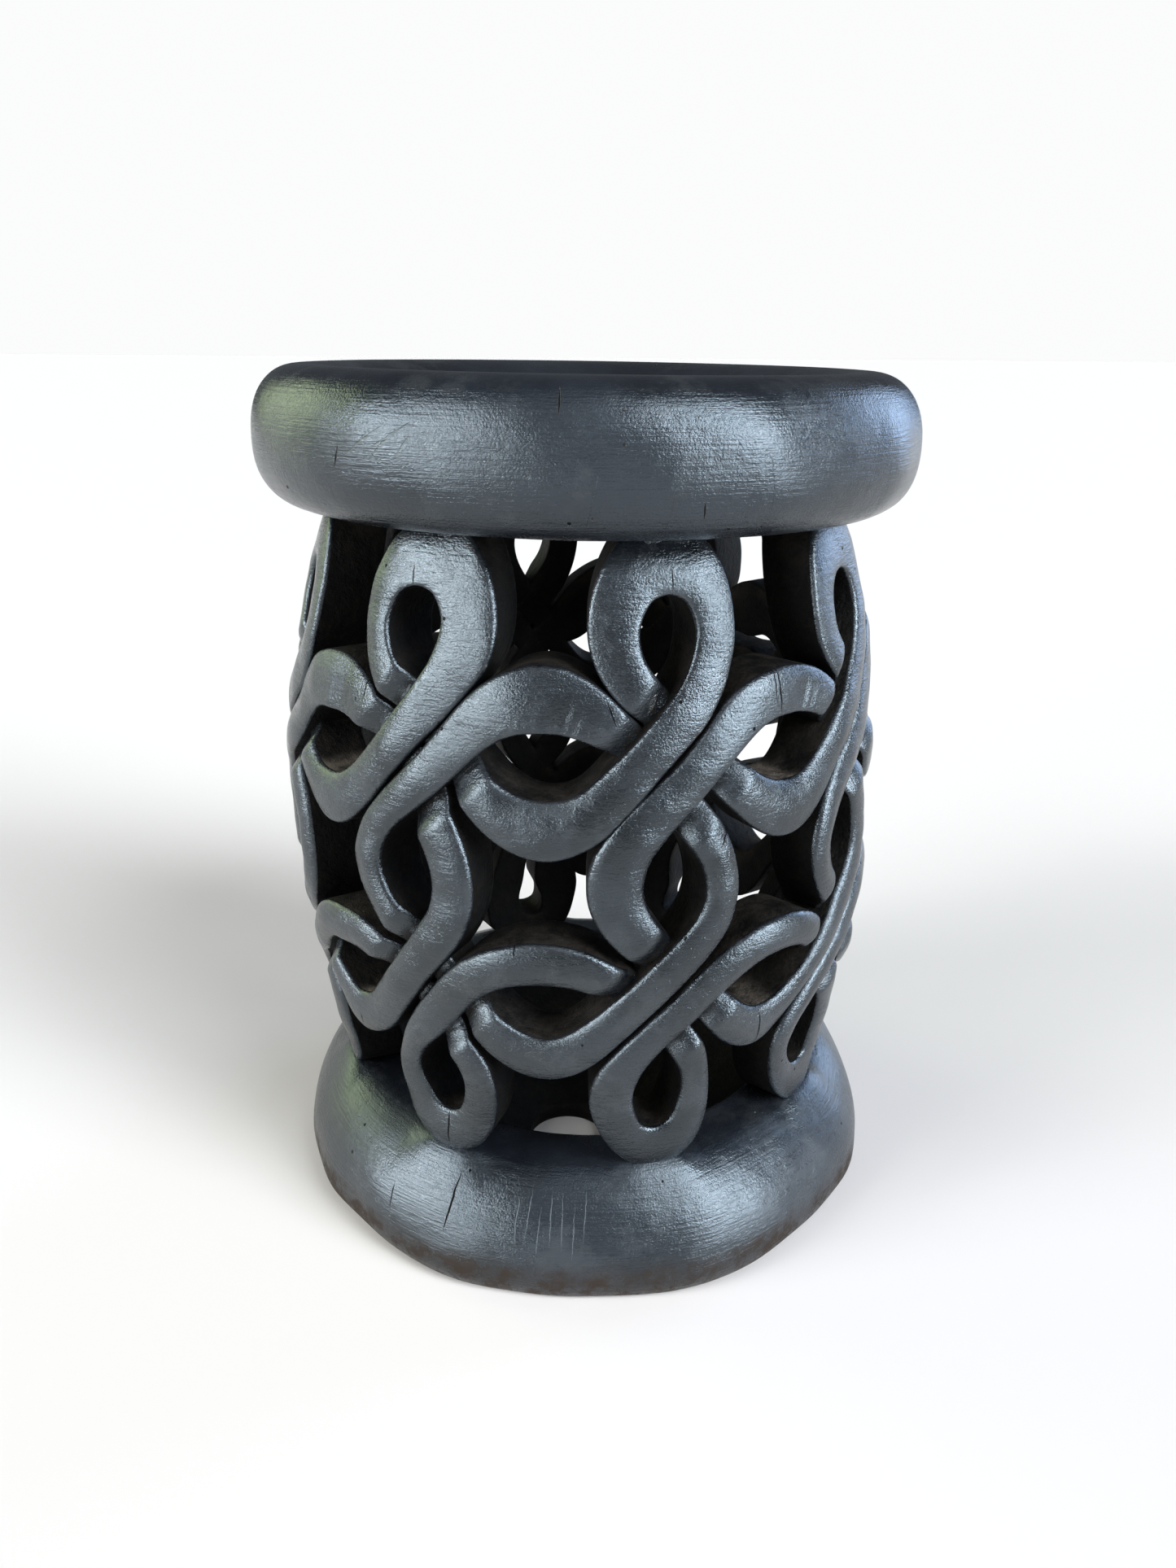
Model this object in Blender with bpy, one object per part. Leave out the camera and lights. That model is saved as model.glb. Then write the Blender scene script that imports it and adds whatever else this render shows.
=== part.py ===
"""Bamileke stool: a dished seat and a fat round base joined by a barrel of interlaced straps.

Metres, +Z up, origin on the floor under the middle of the stool.
The real stool is carved from one log. Each carved element is its own solid here, and the straps
meet as half laps: a strap that rises to the right passes over every strap that falls to the right.
"""
from math import cos, pi, sin

import bmesh
import bpy
import numpy as np

# Fits
FIT_GAP = 0.0003
LAP_GAP = 0.0007
MERGE_REACH = 0.00003

# Seat: a thick disc with a fat rolled edge and a shallow dish
SEAT_HEIGHT = 0.420
SEAT_THICKNESS = 0.061
SEAT_RADIUS = 0.157
SEAT_ROLL_REACH = 0.024
SEAT_ROLL_POWER = 2.3
SEAT_RIM_WIDTH = 0.026
DISH_SLOPE_WIDTH = 0.051
DISH_DEPTH = 0.015

# Base: a fat rounded ring. Inside its land, the wood slopes down to a small hole through its floor,
# which lies a little towards the front.
BASE_HEIGHT = 0.0615
BASE_RADIUS = 0.158
BASE_RING_WIDTH = 0.053
BASE_SHOULDER_REACH = 0.026
BASE_WIDEST_HEIGHT = 0.013
BASE_TUCK = 0.009
BASE_BORE_ROUND = 0.004
BASE_HOLE_RADIUS = 0.022
BASE_HOLE_FORWARD = 0.030
BASE_FLOOR_THICKNESS = 0.008

# Barrel: the surface that the straps' outer faces follow, set back from the log that the base's
# and the seat's widest edges keep
BARREL_FOOT_SETBACK = 0.0245
BARREL_BELLY_SETBACK = 0.0065
BARREL_NECK_SETBACK = 0.0305
BARREL_BELLY_HEIGHT = 0.207
BARREL_WALL = 0.028

# Interlace: straps as wide as their courses' shares say, crowned, with rounded edges. Where one
# laps another, the upper strap keeps its face and the lower one ramps down under it.
COLUMNS = 8
STRAP_WIDTH = 0.019
STRAP_ROUND = 0.0045
STRAP_CROWN = 0.0009
LAP_DEPTH = 0.009
LAP_MARGIN = 0.0014
LAP_RAMP = 0.010
LAP_STEP = 0.0006
LAP_CLEAR = 0.0025

# Fineness: steps round a turned piece, along a roll, along a course's span and across a strap, and
# how far a strap runs, or turns, from one section to the next
TURNED_STEPS = 56
ROLL_STEPS = 5
BORE_ROUND_STEPS = 2
SPAN_STEPS = 24
POINTS_ACROSS = 7
STATION_LENGTH = 0.027
STATION_TURN = 0.47
SHARP_ANGLE = pi / 5

# Places along each strap: share of a column's pitch to the right of the column, share of the
# barrel's height, and width as a share of the strap's width. The first and last points of a loop
# lie at the middle of two crossings, one column apart, where the next loop takes over.
UPPER_LOOP_SHARES = (
    (0.07, 0.721, 0.88),
    (-0.06, 0.771, 0.89),
    (-0.175, 0.822, 0.94),
    (-0.21, 0.882, 0.96),
    (-0.16, 0.937, 1.16),
    (-0.095, 0.962, 1.42),
    (0.0, 0.973, 1.58),
    (0.095, 0.962, 1.42),
    (0.16, 0.937, 1.14),
    (0.205, 0.882, 0.92),
    (0.17, 0.828, 0.94),
    (0.085, 0.778, 0.96),
    (-0.055, 0.724, 0.96),
    (-0.20, 0.667, 1.03),
    (-0.34, 0.619, 1.18),
    (-0.50, 0.600, 1.42),
    (-0.65, 0.622, 1.17),
    (-0.79, 0.668, 0.95),
    (-0.93, 0.721, 0.88),
)
EYE_RING_SHARES = (
    (-0.50, 0.789, 1.47),
    (-0.33, 0.771, 1.22),
    (-0.175, 0.726, 0.86),
    (-0.055, 0.680, 0.87),
    (0.055, 0.621, 0.97),
    (0.15, 0.566, 0.92),
    (0.19, 0.512, 0.86),
    (0.165, 0.452, 0.90),
    (0.08, 0.405, 0.95),
    (-0.05, 0.354, 0.98),
    (-0.20, 0.295, 1.00),
    (-0.35, 0.242, 1.12),
    (-0.50, 0.220, 1.24),
    (-0.65, 0.242, 1.10),
    (-0.79, 0.292, 0.93),
    (-0.93, 0.347, 0.88),
    (-1.055, 0.404, 0.93),
    (-1.16, 0.458, 0.98),
    (-1.205, 0.514, 1.00),
    (-1.165, 0.573, 0.98),
    (-1.07, 0.620, 0.98),
    (-0.93, 0.674, 0.97),
    (-0.80, 0.728, 1.03),
    (-0.66, 0.773, 1.26),
)
LOWER_LOOP_SHARES = (
    (-0.07, 0.306, 0.86),
    (0.06, 0.253, 0.86),
    (0.17, 0.200, 0.92),
    (0.20, 0.140, 0.95),
    (0.15, 0.068, 1.08),
    (0.085, 0.041, 1.28),
    (0.0, 0.032, 1.40),
    (-0.085, 0.041, 1.28),
    (-0.15, 0.068, 1.10),
    (-0.21, 0.142, 0.98),
    (-0.16, 0.202, 0.93),
    (-0.055, 0.254, 0.93),
    (0.08, 0.305, 0.95),
    (0.20, 0.350, 0.97),
    (0.34, 0.382, 1.05),
    (0.50, 0.392, 1.12),
    (0.66, 0.384, 1.04),
    (0.81, 0.350, 0.90),
    (0.93, 0.306, 0.86),
)

# Two straps cross where the sine of the angle between them is larger than this
CROSSING_SINE = 0.6

# Across a strap's section: the place of the crowned face's edges, as a share of the half width
FACE_EDGE_SHARE = 0.62

SEAT_UNDERSIDE = SEAT_HEIGHT - SEAT_THICKNESS
DISH_RADIUS = SEAT_RADIUS - SEAT_RIM_WIDTH
DISH_FLOOR_RADIUS = DISH_RADIUS - DISH_SLOPE_WIDTH
BASE_BORE_RADIUS = BASE_RADIUS - BASE_RING_WIDTH
BARREL_FOOT_RADIUS = BASE_RADIUS - BARREL_FOOT_SETBACK
BARREL_BELLY_RADIUS = BASE_RADIUS - BARREL_BELLY_SETBACK
BARREL_NECK_RADIUS = SEAT_RADIUS - BARREL_NECK_SETBACK
PITCH = 2 * pi / COLUMNS
FRONT = -pi / 2
COLUMN_LENGTH = PITCH * BARREL_BELLY_RADIUS


def clear_scene():
    for thing in list(bpy.data.objects):
        bpy.data.objects.remove(thing, do_unlink=True)


def wood(name, colour, roughness):
    material = bpy.data.materials.new(name)
    material.use_nodes = True
    shader = material.node_tree.nodes["Principled BSDF"]
    shader.inputs["Base Color"].default_value = (*colour, 1)
    shader.inputs["Roughness"].default_value = roughness
    shader.inputs["Metallic"].default_value = 0
    return material


def place(name, mesh, turn=0):
    piece = bpy.data.objects.new(name, mesh)
    piece.rotation_euler.z = turn
    bpy.context.collection.objects.link(piece)
    return piece


def finish_mesh(name, shape, material):
    mesh = bpy.data.meshes.new(name)
    shape.to_mesh(mesh)
    shape.free()
    mesh.materials.append(material)
    mesh.shade_smooth()
    mesh.set_sharp_from_angle(angle=SHARP_ANGLE)
    return mesh


def turned(name, profile, material):
    """Spin a closed or axis-to-axis profile of (radius, height) points into a round solid."""
    shape = bmesh.new()
    ring = [shape.verts.new((radius, 0, height)) for radius, height in profile]
    pairs = list(zip(ring[:-1], ring[1:]))
    if min(radius for radius, height in profile) > 0:
        pairs.append((ring[-1], ring[0]))
    edges = [shape.edges.new(pair) for pair in pairs]
    bmesh.ops.spin(shape, geom=ring + edges, cent=(0, 0, 0), axis=(0, 0, 1),
                   angle=2 * pi, steps=TURNED_STEPS)
    bmesh.ops.remove_doubles(shape, verts=shape.verts[:], dist=MERGE_REACH)
    bmesh.ops.recalc_face_normals(shape, faces=shape.faces[:])
    return finish_mesh(name, shape, material)


def roll(centre, reach, power, start, end, steps=ROLL_STEPS):
    """Points of a superellipse arc: (|x| / a) ** power + (|z| / b) ** power = 1."""
    points = []
    for step in range(steps + 1):
        angle = start + (end - start) * step / steps
        x = abs(cos(angle)) ** (2 / power) * (1 if cos(angle) > 0 else -1)
        z = abs(sin(angle)) ** (2 / power) * (1 if sin(angle) > 0 else -1)
        points.append((centre[0] + reach[0] * x, centre[1] + reach[1] * z))
    return points


def seat_profile():
    """From the middle of the underside, round the rolled edge, to the middle of the dish."""
    half = SEAT_THICKNESS / 2
    centre = (SEAT_RADIUS - SEAT_ROLL_REACH, SEAT_HEIGHT - half)
    edge = roll(centre, (SEAT_ROLL_REACH, half), SEAT_ROLL_POWER, -pi / 2, 0)
    edge += roll(centre, (SEAT_ROLL_REACH, half), SEAT_ROLL_POWER, 0, pi / 2)[1:]
    dish = []
    for step in range(ROLL_STEPS + 1):
        share = step / ROLL_STEPS
        radius = DISH_RADIUS + (DISH_FLOOR_RADIUS - DISH_RADIUS) * share
        dish.append((radius, SEAT_HEIGHT - DISH_DEPTH * (1 - cos(pi * share)) / 2))
    return [(0, SEAT_UNDERSIDE)] + edge + dish + [(0, SEAT_HEIGHT - DISH_DEPTH)]


def base_profile():
    """Down the hole, under the base, up the fat outside, over the land, to where the slope starts."""
    shoulder = (BASE_RADIUS - BASE_SHOULDER_REACH, BASE_WIDEST_HEIGHT)
    rise = BASE_HEIGHT - BASE_WIDEST_HEIGHT
    tuck = (BASE_RADIUS - BASE_TUCK, BASE_WIDEST_HEIGHT)
    lip = (BASE_BORE_RADIUS + BASE_BORE_ROUND, BASE_HEIGHT - BASE_BORE_ROUND)
    round_in = (BASE_BORE_ROUND, BASE_BORE_ROUND)
    points = [(BASE_HOLE_RADIUS, BASE_FLOOR_THICKNESS), (BASE_HOLE_RADIUS, 0)]
    points += roll(tuck, (BASE_TUCK, BASE_WIDEST_HEIGHT), 2, -pi / 2, 0)
    points += roll(shoulder, (BASE_SHOULDER_REACH, rise), 2, 0, pi / 2)[1:]
    points += roll(lip, round_in, 2, pi / 2, pi, BORE_ROUND_STEPS)
    return points


def pierced_base(name, material):
    """The turned base, with the hole through its floor moved forward as a whole."""
    mesh = turned(name, base_profile(), material)
    for vertex in mesh.vertices:
        if np.hypot(vertex.co.x, vertex.co.y) < BASE_HOLE_RADIUS + MERGE_REACH:
            vertex.co.y -= BASE_HOLE_FORWARD
    return mesh


def barrel_radius(height):
    """Two parabolas that meet at the belly and reach the foot and the neck."""
    above = (height - BARREL_BELLY_HEIGHT) / (SEAT_UNDERSIDE - BARREL_BELLY_HEIGHT)
    below = (height - BARREL_BELLY_HEIGHT) / (BASE_HEIGHT - BARREL_BELLY_HEIGHT)
    to_neck = (BARREL_BELLY_RADIUS - BARREL_NECK_RADIUS) * above ** 2
    to_foot = (BARREL_BELLY_RADIUS - BARREL_FOOT_RADIUS) * below ** 2
    return BARREL_BELLY_RADIUS - np.where(height > BARREL_BELLY_HEIGHT, to_neck, to_foot)


class Course:
    """A strap's smooth centreline on the unrolled barrel, with its width, by distance along it."""

    def __init__(self, shares, closed):
        self.closed = closed
        places = np.array(shares)
        step = places[-1] - places[0]
        knots = np.vstack((places[-2] - step, places, places[1] + step))
        across = knots[:, 0] * COLUMN_LENGTH
        height = BASE_HEIGHT + knots[:, 1] * (SEAT_UNDERSIDE - BASE_HEIGHT)
        curve = catmull_rom(np.column_stack((across, height, knots[:, 2] * STRAP_WIDTH)))
        self.across, self.height, self.width = curve.T
        scale = barrel_radius(self.height) / BARREL_BELLY_RADIUS
        run = np.gradient(self.across) * scale
        rise = np.gradient(self.height)
        steps = np.hypot(np.diff(self.across) * scale[1:], np.diff(self.height))
        self.along = np.concatenate(([0], np.cumsum(steps)))
        self.heading = np.unwrap(np.arctan2(rise, run))
        self.rises_right = run * rise > 0

    def at(self, values, along):
        return np.interp(along, self.along, values)

    def footprint(self, along):
        """Points across the strap, edge to edge, at each distance along it."""
        side = np.linspace(-1, 1, POINTS_ACROSS)
        height = self.at(self.height, along)[:, None]
        half = self.at(self.width, along)[:, None] / 2
        heading = self.at(self.heading, along)[:, None]
        scale = barrel_radius(height) / BARREL_BELLY_RADIUS
        across = self.at(self.across, along)[:, None] - side * half * np.sin(heading) / scale
        return across, height + side * half * np.cos(heading)


def catmull_rom(knots):
    """A curve through all knots but the first and the last, which only set its ends' slopes."""
    share = np.linspace(0, 1, SPAN_STEPS, endpoint=False)[:, None]
    spans = []
    for p0, p1, p2, p3 in zip(knots[:-3], knots[1:-2], knots[2:-1], knots[3:]):
        bend = 2 * p0 - 5 * p1 + 4 * p2 - p3
        twist = 3 * p1 - p0 - 3 * p2 + p3
        spans.append(p1 + ((p2 - p0) * share + bend * share ** 2 + twist * share ** 3) / 2)
    return np.vstack(spans + [knots[-2:-1]])


def crossed(course, others, passes_over):
    """Where the course crosses another strap, as true or false for each of its points."""
    across, height = course.footprint(course.along)
    scale = barrel_radius(height) / BARREL_BELLY_RADIUS
    hit = np.zeros(len(course.along), dtype=bool)
    for other in others:
        for shift in range(-2, 3):
            there = other.across + shift * COLUMN_LENGTH
            reach = other.width / 2 + LAP_MARGIN
            steep = np.abs(np.sin(course.heading[:, None] - other.heading)) > CROSSING_SINE
            if other is course and shift == 0:
                steep &= np.abs(course.along[:, None] - course.along) > COLUMN_LENGTH
            for side in range(across.shape[1]):
                gap = np.hypot((across[:, side, None] - there) * scale[:, side, None],
                               height[:, side, None] - other.height)
                hit |= (steep & (gap < reach)).any(axis=1)
    places = np.flatnonzero(hit & (course.rises_right == passes_over))
    spans = np.zeros(len(course.along), dtype=bool)
    for first, second in zip(places[:-1], places[1:]):
        if course.along[second] - course.along[first] < LAP_RAMP:
            spans[first:second + 1] = True
    return spans


def distance_to(course, hit):
    """Distance along the course from each point to the nearest one that is hit."""
    gap = np.abs(course.along[:, None] - course.along[hit][None, :])
    if course.closed:
        gap = np.minimum(gap, course.along[-1] - gap)
    return gap.min(axis=1)


def stations(course, over, under):
    """Distances at which the strap gets a section: by length, by turn, and at each lap's ends.

    A place that lies within LAP_CLEAR of a lap's ends is dropped, so that no sliver is left.
    """
    turn = np.abs(np.diff(course.heading)) / STATION_TURN
    effort = np.concatenate(([0], np.cumsum(np.diff(course.along) / STATION_LENGTH + turn)))
    marks = np.linspace(0, effort[-1], int(np.ceil(effort[-1])) + 1)
    places = list(np.interp(marks, effort, course.along))
    for hit, steps in ((over, (0, LAP_STEP)), (under, (0, LAP_RAMP / 2, LAP_RAMP))):
        for index in np.flatnonzero(np.diff(hit.astype(int))):
            outwards = 1 if hit[index] else -1
            edge = course.along[index if hit[index] else index + 1]
            lap_places = [edge + outwards * step for step in steps]
            low, high = min(lap_places) - LAP_CLEAR, max(lap_places) + LAP_CLEAR
            places = [p for p in places if p < low or p > high or p in (0, course.along[-1])]
            places += lap_places
    places = np.unique(np.array(places))
    places = places[(places >= 0) & (places <= course.along[-1])]
    if course.closed:
        return places[:-1]
    places[0] += FIT_GAP / 2
    places[-1] -= FIT_GAP / 2
    return places


def strap(name, course, others, material):
    """Sweep a crowned section along the course, thinned where it laps another strap."""
    over = crossed(course, others, True)
    under = crossed(course, others, False)
    lifted = np.clip(1 - distance_to(course, over) / LAP_STEP, 0, 1)
    sunk = np.clip(1 - distance_to(course, under) / LAP_RAMP, 0, 1)
    along = stations(course, over, under)
    lift = course.at(lifted, along)[:, None]
    sink = course.at(sunk, along)[:, None]
    sink = sink ** 2 * (3 - 2 * sink)
    face = sink * (LAP_DEPTH + LAP_GAP / 2)
    back = BARREL_WALL - lift * (BARREL_WALL - LAP_DEPTH + LAP_GAP / 2)
    edge = face + (1 - sink) * STRAP_ROUND
    crown = face + (1 - sink) * STRAP_CROWN
    depth = np.hstack((back, edge, crown, crown, edge, back))
    side = np.array((-1, -1, -FACE_EDGE_SHARE, FACE_EDGE_SHARE, 1, 1))

    heading = course.at(course.heading, along)[:, None]
    half = course.at(course.width, along)[:, None] / 2
    height = course.at(course.height, along)[:, None]
    scale = barrel_radius(height) / BARREL_BELLY_RADIUS
    across = course.at(course.across, along)[:, None] - side * half * np.sin(heading) / scale
    height = height + side * half * np.cos(heading)
    height = np.clip(height, BASE_HEIGHT + FIT_GAP, SEAT_UNDERSIDE - FIT_GAP)
    radius = barrel_radius(height) - depth
    angle = FRONT + PITCH / 2 + across / BARREL_BELLY_RADIUS
    points = np.stack((radius * np.cos(angle), radius * np.sin(angle), height), axis=-1)
    return loft(name, points, course.closed, material)


def loft(name, sections, closed, material):
    """Bridge each section to the next, and cap an open strap's two ends."""
    shape = bmesh.new()
    rings = [[shape.verts.new(point) for point in section] for section in sections]
    pairs = list(zip(rings[:-1], rings[1:]))
    if closed:
        pairs.append((rings[-1], rings[0]))
    for first, second in pairs:
        for corner in range(len(first)):
            follow = (corner + 1) % len(first)
            shape.faces.new((first[corner], second[corner], second[follow], first[follow]))
    if not closed:
        shape.faces.new(rings[0])
        shape.faces.new(rings[-1][::-1])
    bmesh.ops.triangulate(shape, faces=shape.faces[:])
    return finish_mesh(name, shape, material)


def build():
    clear_scene()
    seat_wood = wood("seat_wood", (0.030, 0.034, 0.038), 0.38)
    base_wood = wood("base_wood", (0.034, 0.036, 0.040), 0.42)
    strap_wood = wood("strap_wood", (0.040, 0.044, 0.048), 0.40)
    place("seat", turned("seat", seat_profile(), seat_wood))
    place("base_ring", pierced_base("base_ring", base_wood))
    upper = Course(UPPER_LOOP_SHARES, closed=False)
    ring = Course(EYE_RING_SHARES + EYE_RING_SHARES[:1], closed=True)
    lower = Course(LOWER_LOOP_SHARES, closed=False)
    courses = (upper, ring, lower)
    meshes = {
        "upper_loop": strap("upper_loop", upper, courses, strap_wood),
        "eye_ring": strap("eye_ring", ring, courses, strap_wood),
        "lower_loop": strap("lower_loop", lower, courses, strap_wood),
    }
    for name, mesh in meshes.items():
        for column in range(COLUMNS):
            place(f"{name}_{column + 1}", mesh, column * PITCH)


build()
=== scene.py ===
import math

import bpy
import numpy as np
from mathutils import Matrix, Vector


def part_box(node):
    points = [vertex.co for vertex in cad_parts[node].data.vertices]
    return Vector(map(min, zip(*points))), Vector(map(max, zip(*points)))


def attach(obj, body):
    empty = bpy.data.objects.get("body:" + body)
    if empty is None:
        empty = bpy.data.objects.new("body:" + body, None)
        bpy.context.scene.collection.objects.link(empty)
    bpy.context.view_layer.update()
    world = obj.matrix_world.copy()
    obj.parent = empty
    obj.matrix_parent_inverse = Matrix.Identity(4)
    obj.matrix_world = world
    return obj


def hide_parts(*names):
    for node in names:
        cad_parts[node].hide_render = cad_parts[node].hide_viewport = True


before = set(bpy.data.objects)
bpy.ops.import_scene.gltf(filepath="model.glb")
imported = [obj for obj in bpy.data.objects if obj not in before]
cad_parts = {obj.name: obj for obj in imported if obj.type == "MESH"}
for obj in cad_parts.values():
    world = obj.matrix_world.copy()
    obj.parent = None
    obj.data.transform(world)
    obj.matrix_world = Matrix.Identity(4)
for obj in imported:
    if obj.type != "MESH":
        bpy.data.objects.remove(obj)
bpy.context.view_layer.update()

seatLow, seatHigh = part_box("seat")
baseLow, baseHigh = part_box("base_ring")
seatUnder, seatTop, seatReach = seatLow[2], seatHigh[2], seatHigh[0]
baseTop, baseReach = baseHigh[2], baseHigh[0]


# camera: where the lens stands, measured from the stool's foot, and which way it looks
lens = {
    "back": 0.596, "aside": 0.0139, "height": 0.432,
    "down": 0.3605, "yaw": -0.0211, "roll": 0.005,      # radians
    "stoolTurn": 6,                                      # degrees the stool is turned in the picture
    "focalPixels": 1450.5, "framePixels": 1445, "sensor": 36,
}


def setCamera(spec):
    sight = bpy.data.cameras.new("sight")
    sight.sensor_fit = "HORIZONTAL"
    sight.sensor_width = spec["sensor"]
    sight.lens = spec["focalPixels"] / spec["framePixels"] * spec["sensor"]
    ahead = Vector((math.sin(spec["yaw"]) * math.cos(spec["down"]),
                    math.cos(spec["yaw"]) * math.cos(spec["down"]), -math.sin(spec["down"])))
    right = Vector((math.cos(spec["yaw"]), -math.sin(spec["yaw"]), 0))
    up = right.cross(ahead)
    c, s = math.cos(spec["roll"]), math.sin(spec["roll"])
    axes = Matrix((c * right + s * up, c * up - s * right, -ahead)).transposed().to_4x4()
    axes.translation = (spec["aside"], -spec["back"], spec["height"])
    camera = bpy.data.objects.new("camera", sight)
    bpy.context.collection.objects.link(camera)
    camera.matrix_world = Matrix.Rotation(math.radians(spec["stoolTurn"]), 4, "Z") @ axes
    bpy.context.scene.camera = camera


setCamera(lens)
print("camera set")


# hand-made unevenness: a sum of sine waves of one length in many directions, so it has no seam
def ripple(points, reach, seed, waves=14):
    dice = np.random.default_rng(seed)
    ways = dice.normal(size=(waves, 3))
    ways *= 2 * np.pi / reach / np.linalg.norm(ways, axis=1)[:, None]
    phases = dice.uniform(0, 2 * np.pi, waves)
    return np.sin(points @ ways.T + phases).sum(axis=-1) / math.sqrt(waves / 2)


def smoothStep(x):      # 0 up to 0, 1 from 1 on, 3x^2 - 2x^3 between
    x = np.clip(x, 0, 1)
    return x * x * (3 - 2 * x)


# A mesh from a grid of points, rows by columns. Each column's last point joins its first, and so do
# the rows' if rowsClosed; open rows end in a fan to a middle point. The marks go on the points as
# attributes, and faces that are mostly marked "wall" take the second material.
def gridPiece(name, points, rowsClosed, marks=None):
    rows, cols = points.shape[:2]
    verts = points.reshape(-1, 3)
    row = np.arange(rows if rowsClosed else rows - 1)[:, None]
    col = np.arange(cols)[None, :]
    nextRow, nextCol = (row + 1) % rows, (col + 1) % cols
    corners = [(row, col), (nextRow, col), (nextRow, nextCol), (row, nextCol)]
    faces = np.stack([r * cols + c for r, c in corners], -1).reshape(-1, 4)
    caps = []
    spots = {key: values.reshape(-1) for key, values in (marks or {}).items()}
    if not rowsClosed:
        ring, middle, last = np.arange(cols), len(verts), (rows - 1) * cols
        nextOne = np.roll(ring, -1)
        caps = np.vstack((np.stack((middle + 0 * ring, ring, nextOne), -1),
                          np.stack((middle + 1 + 0 * ring, last + nextOne, last + ring), -1))).tolist()
        verts = np.vstack((verts, points[0].mean(axis=0), points[-1].mean(axis=0)))
        spots = {key: np.concatenate((values, values[[0, -1]])) for key, values in spots.items()}
    mesh = bpy.data.meshes.new(name)
    mesh.from_pydata(verts.tolist(), [], faces.tolist() + caps)
    for key, values in spots.items():
        layer = mesh.attributes.new(key, "FLOAT", "POINT")
        layer.data.foreach_set("value", values.astype(np.float32))
    if "wall" in spots:
        inner = spots["wall"][faces].mean(axis=1) > 0.5
        inner = np.concatenate((inner, np.ones(len(caps), bool)))
        mesh.polygons.foreach_set("material_index", inner.astype(np.int32))
    mesh.shade_smooth()
    piece = bpy.data.objects.new(name, mesh)
    bpy.context.collection.objects.link(piece)
    return piece


mattFinish = {"Roughness": 0.8, "Specular IOR Level": 0.1}


# woods: a wire carries one socket and adds Math nodes from plain arithmetic, and a recipe is a material
class Wire:
    def __init__(self, recipe, socket):
        self.recipe, self.socket = recipe, socket

    def __add__(self, other):
        return self.recipe.maths("ADD", self, other)

    def __radd__(self, other):
        return self.recipe.maths("ADD", other, self)

    def __sub__(self, other):
        return self.recipe.maths("SUBTRACT", self, other)

    def __rsub__(self, other):
        return self.recipe.maths("SUBTRACT", other, self)

    def __mul__(self, other):
        return self.recipe.maths("MULTIPLY", self, other)

    def __rmul__(self, other):
        return self.recipe.maths("MULTIPLY", other, self)

    def __truediv__(self, other):
        return self.recipe.maths("DIVIDE", self, other)

    def __rtruediv__(self, other):
        return self.recipe.maths("DIVIDE", other, self)

    def __abs__(self):
        return self.recipe.maths("ABSOLUTE", self)

    def ramp(self, low, high):          # 0 below low, 1 above high, smooth between
        return self.recipe.add("ShaderNodeMapRange", {"interpolation_type": "SMOOTHSTEP"},
                               {"Value": self, "From Min": low, "From Max": high})


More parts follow.
